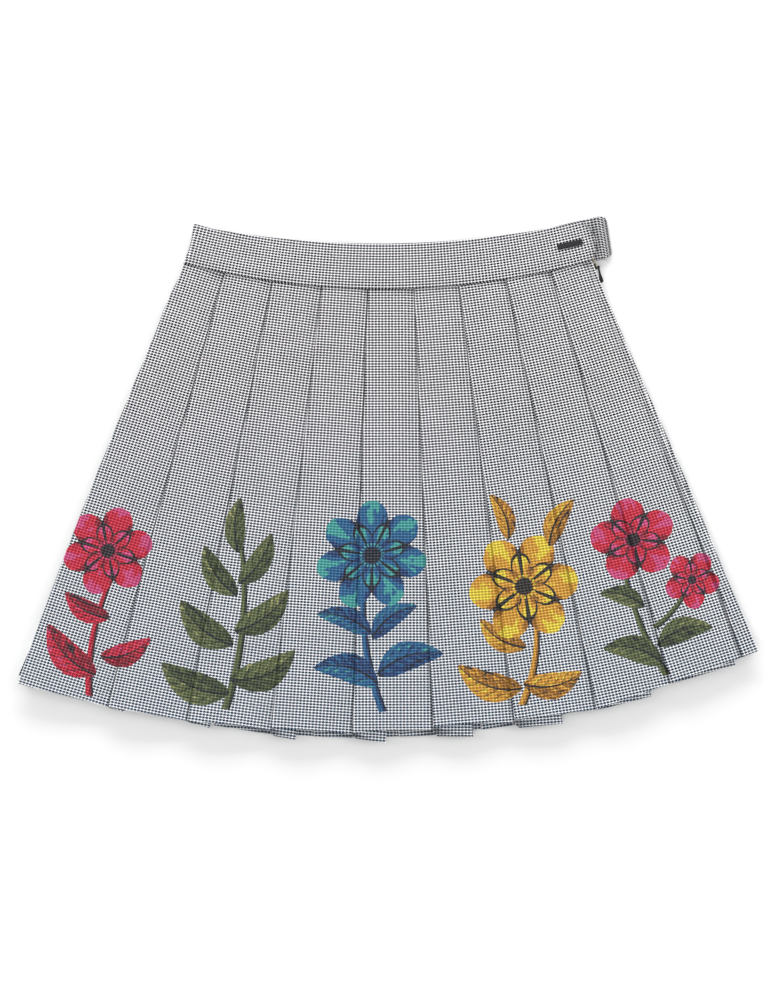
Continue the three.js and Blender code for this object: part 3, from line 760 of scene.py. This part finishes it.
def printed_shapes(tree, place, shapes):
    """The ink colour of a spray's shapes, and how much of it lies on the cloth, at each place."""
    place = node(tree, "ShaderNodeVectorMath", {0: place, 1: (1 / MM, 1 / MM, 0)},
                 operation="MULTIPLY").outputs[0]
    wobble = noise(tree, place, *WOBBLE_NOISE)
    # The code of a place is its ink family and tone, or -1 on bare cloth.
    code = wobble * 0 - 1
    for kind, family, x, y, turn, length, width, bend_by in shapes:
        made = node(tree, "ShaderNodeGroup",
                    {"Place": place, "Wobble": wobble, "Centre": (x, y, 0),
                     "Turn": math.radians(turn), "Long": length, "Wide": width, "Bend": bend_by},
                    node_tree=bpy.data.node_groups.get("print_" + kind) or print_group(kind))
        tone = Formula(tree, made.outputs["Tone"])
        code = code.to(tone + family, Formula(tree, made.outputs["Inside"]))
    ramp = node(tree, "ShaderNodeValToRGB", {"Fac": code / len(INKS)})
    ramp.color_ramp.interpolation = "CONSTANT"
    stops = [((family + step) / len(INKS), colour)
             for family, inks in enumerate(INKS) for step, colour in zip(INK_STEPS, inks)]
    while len(ramp.color_ramp.elements) < len(stops):
        ramp.color_ramp.elements.new(1.0)
    for stop, (at, colour) in zip(ramp.color_ramp.elements, stops):
        stop.position = at
        stop.color = (*colour, 1)
    return ramp.outputs["Color"], (code > 0.0) * varied(tree, place, INK_COVER)


def thread_count(repeats):
    """Turns a count of repeats into one of threads. The dark ones are wider than the light ones."""
    whole = repeats.floor()
    part = repeats - whole
    each = TWILL.threads / 2
    dark_part = part.most(DARK_SHARE) * (each / DARK_SHARE)
    light_part = (part - DARK_SHARE).least(0.0) * (each / (1 - DARK_SHARE))
    return whole * TWILL.threads + dark_part + light_part


def checked_cloth(name, shapes, shade=1.0):
    """Puppytooth: a twill with four dark and four light threads each way, and printed shapes on it."""
    material, tree, surface = new_material(name)
    uv = uv_map(tree)
    place = node(tree, "ShaderNodeTexCoord").outputs["Object"]
    u, v = split(tree, uv)
    warp = thread_count(u / CHECK_ACROSS)
    weft = thread_count(v / CHECK_ALONG)
    i, j = warp.floor(), weft.floor()
    in_warp = (warp - i - 0.5).size() < WARP_SHOWS / 2
    warp_up = ((i + j).modulo(TWILL.repeat) < TWILL.up) * in_warp
    warp_dark = i.modulo(TWILL.threads) < TWILL.dark
    weft_dark = j.modulo(TWILL.threads) < TWILL.dark
    dark = weft_dark.to(warp_dark, warp_up)
    thread = vector(tree, i * warp_up, j * warp_up.flipped(), 0.0)
    uneven = node(tree, "ShaderNodeTexWhiteNoise", {"Vector": thread}, noise_dimensions="3D")
    round_thread = thread_round(weft).to(thread_round(warp), warp_up)
    wide_patch, small_patch = (noise(tree, uv, scale, detail) * strength
                               for scale, detail, strength in PATCHES)
    # A shade below 1 darkens the whole cloth: painted shade, used for the underlap's copy.
    patch = wide_patch + small_patch + shade
    level = Formula(tree, uneven.outputs["Value"]) * LIGHT_THREAD.uneven + LIGHT_THREAD.least
    # Painted shade: each light thread darkens towards its sides, where the gaps between threads lie.
    level = level * patch * (round_thread * LIGHT_THREAD.round + LIGHT_THREAD.side)
    light = tinted(tree, level, LIGHT_THREAD.tint)
    low_down = (split(tree, place)[1] * INK_CHANGE.slope) + INK_CHANGE.middle
    low_down = low_down.least(0.0).most(1.0)
    colour = mix_colour(tree, dark, light, mix_colour(tree, low_down, INK_TOP, INK_HEM))
    # Painted shade: the cloth darkens to near black, in broken patches, along the fold lines and in the
    # band's shaded places.
    painted_shade = Formula(tree, node(tree, "ShaderNodeAttribute", attribute_name="painted_shade").outputs["Fac"])
    cover = painted_shade * varied(tree, uv, PAINTED_SHADE_COVER).most(PAINTED_SHADE_MOST)
    colour = mix_colour(tree, cover, colour, PAINTED_SHADE_COLOUR)
    if shapes:
        ink, cover = printed_shapes(tree, place, shapes)
        base = mix_colour(tree, PRINT_WHITENS, colour, (1, 1, 1, 1))
        colour = mix_colour(tree, cover, colour, mix_colour(tree, 1.0, base, ink, "MULTIPLY"))
    height = round_thread + noise(tree, uv, *FUZZ_NOISE) * FUZZ_HEIGHT
    connect(tree, {"Base Color": colour, "Normal": bump(tree, *CLOTH_BUMP, height),
                   "Roughness": varied(tree, uv, CLOTH_ROUGHNESS), **CLOTH_SURFACE}, surface.inputs)
    return material


def print_on(piece, points, upper):
    """Gives the front's upper quads near each spray the cloth that has that spray on it."""
    rows, count = points.shape[:2]
    middle = (points[:-1, :-1] + points[1:, 1:]) / 2
    seen = np.array(upper[:-1]) & np.array(upper[1:])
    index = np.zeros((rows - 1, count - 1), np.int32)
    for number, (name, left, right, top, shapes) in enumerate(SPRAYS, 1):
        piece.data.materials.append(checked_cloth("puppytooth_" + name, shapes))
        x, y = middle[..., 0], middle[..., 1]
        index[(x > left) & (x < right) & (y < top) & seen[None, :]] = number
    slots = np.zeros(len(piece.data.polygons), np.int32)
    slots[: index.size] = index.ravel()
    piece.data.polygons.foreach_set("material_index", slots)


def woven_black(name, rib, lift):
    """Black ribbed tape or satin weave."""
    material, tree, surface = new_material(name)
    uv = uv_map(tree)
    u, v = split(tree, uv)
    ribs = (u * (2 * math.pi / rib)).sine() * (v * (2 * math.pi / rib)).sine()
    uneven = noise(tree, uv, BLACK_WEAVE.scale, BLACK_WEAVE.detail)
    shade = ribs * BLACK_WEAVE.ribs + uneven * BLACK_WEAVE.uneven + 1.0
    colour = tinted(tree, shade, (lift, lift, lift * BLACK_WEAVE.blue))
    connect(tree, {"Base Color": colour, "Normal": bump(tree, *BLACK_WEAVE.bump, ribs),
                   "Roughness": uneven * BLACK_WEAVE.rough_varies + BLACK_WEAVE.rough,
                   "Specular IOR Level": BLACK_WEAVE.specular}, surface.inputs)
    return material


def enamel(name):
    """Black enamelled metal, a little worn."""
    material, tree, surface = new_material(name)
    wear = noise(tree, node(tree, "ShaderNodeTexCoord").outputs["Object"], *ENAMEL_NOISE)
    share = ((wear - ENAMEL.wear_from) * ENAMEL.wear_slope).least(0.0).most(ENAMEL.wear_most)
    connect(tree, {"Base Color": mix_colour(tree, share, ENAMEL.black, ENAMEL.worn),
                   "Normal": bump(tree, *ENAMEL.bump, wear),
                   "Roughness": wear * ENAMEL.rough_varies + ENAMEL.rough,
                   **ENAMEL_SURFACE}, surface.inputs)
    return material


# A place along the waistband: its arc lengths at the seam and the top, its height, which way its outer
# side faces (out from the side, and up or down), and how far the top edge rises.
BandPlace = namedtuple("BandPlace", "s top_s z out up rise")


def band_places():
    """Places along the waistband, from its end at the zip, round the left side, to the underlap."""
    middle = (BAND_FRONT_MIDDLE + BAND_BACK_MIDDLE) / 2
    bend_radius = (BAND_FRONT_MIDDLE - BAND_BACK_MIDDLE) / 2
    places = [BandPlace(share * BAND_HALF, share * BAND_TOP_HALF, BAND_FRONT_MIDDLE, 0, 1, 0)
              for share in np.linspace(1, -1, BAND_STEPS)]
    for angle in np.linspace(0, math.pi, BAND_TURN_STEPS)[1:-1]:
        reach = bend_radius * math.sin(angle)
        places.append(BandPlace(-BAND_HALF - reach, -BAND_TOP_HALF - reach,
                                middle + bend_radius * math.cos(angle), math.sin(angle),
                                math.cos(angle), 0))
    for share in np.linspace(-1, 1, BAND_STEPS):
        rise = UNDERLAP.lift * float(smooth(UNDERLAP.lift_from, 1, share))
        places.append(BandPlace(share * BAND_HALF, share * BAND_TOP_HALF, BAND_BACK_MIDDLE, 0, -1,
                                rise))
    for share in UNDERLAP.columns:
        places.append(BandPlace(BAND_HALF + UNDERLAP.seam * share,
                                BAND_TOP_HALF + UNDERLAP.top * share,
                                BAND_BACK_MIDDLE, 0, -1, UNDERLAP.lift))
    return places


def band_shade(at, n, middle_share, on_fold):
    """Painted shade on the band: its front end, the shadow behind it, its top fold and the underlap's
    edge.
    """
    end = BAND_HALF + BAND_END.bulge * math.sin(math.pi * middle_share)
    near = max(0.0, 1 - abs(at.s - end) / BAND_SHADE.reach)
    shade = BAND_SHADE.behind * near if at.up < 0 else BAND_SHADE.edge * (n < 1)
    if at.s > BAND_HALF + UNDERLAP.seam * BAND_SHADE.hem_from:
        shade = BAND_SHADE.hem
    return max(shade, BAND_SHADE.top * on_fold)


def waistband(material):
    """The folded waistband: an outer and an inner layer joined by a round fold along the top edge."""
    places = band_places()
    columns, maps, shades = [], [], []
    travelled = 0.0
    before = None
    ends = len(places) - 1
    for n, at in enumerate(places):
        rounded = float(np.clip((at.s - UNDERLAP_ROUND_FROM) / UNDERLAP.round, 0, 1))
        corner = 1 - math.sqrt(1 - rounded**2)
        seam, fold = on_arc(WAIST_SEAM, at.s), on_arc(BAND_TOP, at.top_s)
        low = seam + [0, UNDERLAP.foot_rise * corner]
        aside = float(smooth(BAND_SIDE.start, BAND_HALF, -at.s))
        rise = at.rise - UNDERLAP.top_drop * corner + BAND_SIDE.lift * aside
        high = on_arc(BAND_TOP, at.top_s - BAND_SIDE.out * aside) + [0, rise]
        height = np.linalg.norm(high - low)
        along = unit(high - low)
        left = np.array([-along[1], along[0]])
        middle = np.array([*(seam + fold) / 2, at.z])
        if before is not None:
            travelled += float(np.linalg.norm(middle - before))
        before = middle
        bulge = BAND_END.bulge * max(0.0, 1 - n / BAND_END.columns) ** BAND_END.power
        pinch = {0: BAND_END.pinch, 1: BAND_END.next_pinch}.get(min(n, ends - n), 1.0)
        half = (BAND_THICK - BAND_SHELL) / 2 * pinch
        section, flat, line = [], [], []
        soft = sum(rise * math.sin(travelled * turn + start) for rise, turn, start in BAND_SWELLS)
        body = height - half - BAND_SHELL / 2

        def add(distance, across, cloth_v):
            outward = bulge + BAND_SIDE.pinch * aside
            outward *= math.sin(math.pi * distance / height)
            plan = low + along * distance + left * (across * at.out - outward)
            section.append([plan[0], plan[1], at.z + across * at.up])
            flat.append([travelled - outward, cloth_v])
            blend = BAND_SHADE.blend
            on_fold = float(smooth(body - blend, body + blend, distance))
            line.append(band_shade(at, n, min(1.0, distance / height), on_fold))

        side = (1 + at.up) / 2
        foot_outer = between(BAND_FOOT.back_outer, BAND_FOOT.front_outer, side)
        foot_outer += BAND_FOOT.left_lift * float(smooth(*BAND_FOOT.left, -at.s)) * side
        foot_inner = between(BAND_FOOT.back_inner, BAND_FOOT.front_inner, side)
        if n > ends - len(UNDERLAP.columns) - 1:
            foot_outer, foot_inner = half, -half
        for level in BAND_LEVELS:
            full = float(smooth(*BAND_OUTER_FULL, level))
            swell = between(foot_outer, half, full)
            swell += (BAND_RIDGE.get(level, 0) + soft * math.sin(math.pi * level)) * pinch * SWELL_SHARE
            add(body * level, swell, body * level)
        for k in range(BAND_FOLD_STEPS + 1):
            angle = math.pi / 2 - k * math.pi / BAND_FOLD_STEPS
            add(body + half * math.cos(angle), half * math.sin(angle),
                body + (k / BAND_FOLD_STEPS) * math.pi * half)
        for level in reversed(BAND_LEVELS):
            full = float(smooth(*BAND_INNER_FULL, level))
            add(body * level, between(foot_inner, -half, full),
                2 * body - body * level + math.pi * half)
        columns.append(section)
        maps.append(flat)
        shades.append(line)
    points, maps, shades = (np.array(rows)[::-1] for rows in (columns, maps, shades))
    return shell("waistband_cloth", points, maps, BAND_SHELL, material, shades)


def tape_edge(t):
    """The right edge of the front."""
    fold, wrap = FRONT_FOLDS[-1], FRONT_WRAP
    at = len(FRONT_FOLDS) - 1 - MIDDLE_FOLD
    waist_s = at * WAIST_PITCH + fold.waist + wrap.least
    return on_skirt(FRONT_HEM, waist_s, at * HEM_PITCH + fold.hem + wrap_at(wrap, t), t)


# A direction that no tube here runs in.
NEVER_ALONG = (0.13, 0.21, 0.97)


def tube(path, radius, sides):
    """Points and faces of a round tube along a path."""
    along = unit(np.gradient(path, axis=0))
    side = unit(np.cross(along, NEVER_ALONG))
    up = np.cross(side, along)
    angle = np.arange(sides) * 2 * math.pi / sides
    ring = side[:, None] * np.cos(angle)[None, :, None] + up[:, None] * np.sin(angle)[None, :, None]
    points = (path[:, None] + ring * radius).reshape(-1, 3)
    faces = []
    for r in range(len(path) - 1):
        for c in range(sides):
            d = (c + 1) % sides
            faces.append((r * sides + c, r * sides + d, (r + 1) * sides + d, (r + 1) * sides + c))
    faces.append(tuple(range(sides - 1, -1, -1)))
    faces.append(tuple((len(path) - 1) * sides + c for c in range(sides)))
    return points, faces


# Thread ends: name, colour, radius, and the places that each runs through from the seam's end.
THREADS = (
    ("bar_tack_a", (0.62, 0.50, 0.20), 0.11,
     ((-1.5, 1.0, 7.0), (0.8, -1.6, 6.6), (2.2, -4.4, 5.6), (4.0, -6.6, 5.2))),
    ("bar_tack_b", (0.66, 0.56, 0.28), 0.1,
     ((-0.8, 1.6, 7.0), (1.6, -1.0, 6.8), (2.6, -3.4, 6.2), (3.2, -6.0, 5.4))),
    ("end_a", (0.70, 0.70, 0.70), 0.14,
     ((9.5, 3.6, 2.4), (11.5, 2.6, 2.2), (13.6, 3.2, 1.6), (14.8, 2.4, 1.2))),
    ("end_b", (0.05, 0.06, 0.09), 0.14,
     ((8.6, 2.6, 2.2), (10.8, 1.4, 2.4), (12.2, 1.8, 1.8), (13.4, 0.6, 1.2))),
    ("end_c", (0.72, 0.70, 0.66), 0.12, ((10.2, 4.4, 2.2), (12.6, 4.0, 2.6), (14.2, 4.8, 2.0))),
)
THREAD_STEPS = 6
THREAD_SIDES = 6
THREAD_ROUGHNESS = 0.8


def loose_threads():
    """The yellowish thread ends below the band's end and the fine ones at the underlap's corner."""
    made = []
    origin = np.array([*on_arc(WAIST_SEAM, BAND_HALF), 0.0])
    for name, colour, radius, places in THREADS:
        corners = np.array(places, float) + origin
        step = np.linspace(0, len(corners) - 1, THREAD_STEPS * len(corners))
        path = np.stack([np.interp(step, range(len(corners)), corners[:, axis]) for axis in range(3)],
                        -1)
        path[1:-1] = (path[:-2] + 2 * path[1:-1] + path[2:]) / 4
        material, tree, surface = new_material("thread_" + name)
        connect(tree, {"Base Color": (*colour, 1), "Roughness": THREAD_ROUGHNESS}, surface.inputs)
        points, faces = tube(path, radius, THREAD_SIDES)
        made.append(mesh_object("thread_" + name, points, faces, material))
    return made


def woven_tab(material):
    """The blank woven tab, with its ends tucked down and its long edges rounded."""
    rows, flat = [], []
    for s in np.linspace(TAB.end, TAB.start, TAB.rows):
        low, high = on_arc(WAIST_SEAM, s), on_arc(BAND_TOP, s * BAND_TOP_HALF / BAND_HALF)
        end = min(s - TAB.start, TAB.end - s)
        section, line = [], []
        for share in np.linspace(0, 1, TAB.columns):
            v = between(TAB.low, TAB.high, share)
            plan = between(low, high, v)
            edge = min(share, 1 - share) * TAB.slope
            z = TAB.z + TAB.end_lift * float(smooth(0, TAB.end_round, end))
            z += TAB.edge_lift * float(smooth(0, TAB.edge_round, edge))
            section.append([plan[0], plan[1], z])
            line.append([s, v * TAB.height])
        rows.append(section)
        flat.append(line)
    return shell("blank_tab", np.array(rows), np.array(flat), TAB.shell, material)


def zip_tape(material):
    """The tape of the zip, along the right edge of the front."""
    share = np.linspace(ZIP.start, ZIP.end, ZIP.rows)
    across = np.linspace(0, ZIP.width - ZIP.tape_edge, ZIP.columns)
    rows = [[[x - ZIP.width + w, y, ZIP.z] for w in across] for x, y in tape_edge(share)]
    flat = [[[w, s * SHEET_LENGTH] for w in across] for s in share]
    return shell("zip_tape_cloth", np.array(rows), np.array(flat), ZIP.tape_shell, material)


def zip_coil(material):
    """The zip's teeth, as one coil."""
    turns = int((ZIP.end - ZIP.start) * SHEET_LENGTH / ZIP.pitch)
    step = np.linspace(0, 1, turns * ZIP.turn_steps)
    line = tape_edge(between(ZIP.start, ZIP.end, step))
    angle = step * turns * 2 * math.pi
    path = np.stack([line[:, 0] - ZIP.coil_in + ZIP.coil * ZIP.coil_wide * np.cos(angle),
                     line[:, 1], ZIP.z + ZIP.coil * ZIP.coil_high * np.sin(angle)], -1)
    return mesh_object("zip_coil", *tube(path, ZIP.wire, ZIP.wire_sides), material)


checks = checked_cloth("puppytooth", ())
tab_weave = woven_black("tab_satin", rib=2.4, lift=0.016)
zip_weave = woven_black("zip_tape_rib", rib=0.8, lift=0.012)
black_metal = enamel("black_enamel")

points, maps, upper, shades = pleated_sheet(FRONT_HEM, FRONT_FOLDS, FRONT_WRAP, 1, 0)
front = shell("front_cloth", points, maps, CLOTH, checks, shades)
print_on(front, points, upper)
points, maps, _, shades = pleated_sheet(BACK_HEM, BACK_FOLDS, BACK_WRAP, -1, BACK_DIP)
back = shell("back_cloth", points, maps, CLOTH, checks, shades)
band = waistband(checks)
# The underlap's faces get a darker copy of the same cloth: painted shade.
band.data.materials.append(checked_cloth("puppytooth_underlap_painted_shade", (), UNDERLAP.shade))
for face in band.data.polygons:
    if face.center.x > EDGE_WAIST * MM and face.center.z < BAND_FRONT_MIDDLE * MM / 2:
        face.material_index = 1
tab = woven_tab(tab_weave)
tape = zip_tape(zip_weave)
coil = zip_coil(black_metal)
threads = loose_threads()

for piece, name in ((front, "checked_cloth"), (back, "checked_cloth"), (band, "checked_cloth"),
                    (tab, "tab_weave"), (tape, "zip_weave"), (coil, "zip_weave"),
                    *((thread, "checked_cloth") for thread in threads)):
    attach(piece, "garment")
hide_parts("skirt_front")
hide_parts("skirt_back")
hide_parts("waistband")
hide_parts("woven_tab")
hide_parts("zip_tape")
for name in ("zip_slider", "zip_pull"):
    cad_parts[name].data.materials.clear()
    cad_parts[name].data.materials.append(black_metal)


FLOOR = Values(half=3000, z=-0.3, colour=(0.83, 0.83, 0.83, 1), roughness=0.9)
floor_material, tree, surface = new_material("pale_floor")
connect(tree, {"Base Color": FLOOR.colour, "Roughness": FLOOR.roughness, "Specular IOR Level": 0.0},
        surface.inputs)
corners = ((-1, -1), (1, -1), (1, 1), (-1, 1))
floor = mesh_object("floor", [(x * FLOOR.half, y * FLOOR.half, FLOOR.z) for x, y in corners],
                    [(0, 1, 2, 3)], floor_material)

WORLD_STRENGTH = 0.55
world = bpy.data.worlds.new("studio")
bpy.context.scene.world = world
world.use_nodes = True
connect(world.node_tree, {"Color": (1, 1, 1, 1), "Strength": WORLD_STRENGTH},
        world.node_tree.nodes["Background"].inputs)

# Soft lights: name, place and aim in metres, width and height in metres, and power in watts.
LIGHTS = (
    ("key", (-0.5, -1.2, 2.0), (0, 0, 0), (1.4, 1.4), 16),
    ("low_back", (0.0, 2.4, 0.7), (0, -0.1, 0), (2.6, 0.6), 92),
    ("low_right", (2.2, 0.3, 0.7), (0, 0, 0), (0.6, 2.2), 24),
    ("low_left", (-2.2, 0.3, 0.7), (0, 0, 0), (0.6, 2.2), 16),
)
for name, place, aim, size, power in LIGHTS:
    data = bpy.data.lights.new(name, "AREA")
    data.shape = "RECTANGLE"
    data.size, data.size_y = size
    data.energy = power
    light = bpy.data.objects.new(name, data)
    light.location = place
    light.rotation_euler = (Vector(aim) - Vector(place)).to_track_quat("-Z", "Y").to_euler()
    bpy.context.scene.collection.objects.link(light)

# The camera's aim is in millimetres and its distance in metres.
CAMERA = Values(elevation=81.5, distance=1.4, aim=(-3.228, -16.751, 0), lens=57.09, sensor=36)
camera_data = bpy.data.cameras.new("camera")
camera_data.lens = CAMERA.lens
camera_data.sensor_width = CAMERA.sensor
camera = bpy.data.objects.new("camera", camera_data)
bpy.context.scene.collection.objects.link(camera)
elevation = math.radians(CAMERA.elevation)
away = Vector((0, -math.cos(elevation), math.sin(elevation)))
camera.location = Vector(CAMERA.aim) * MM + away * CAMERA.distance
camera.rotation_euler = (-away).to_track_quat("-Z", "Y").to_euler()
bpy.context.scene.camera = camera

bpy.context.scene.view_settings.view_transform = "Standard"
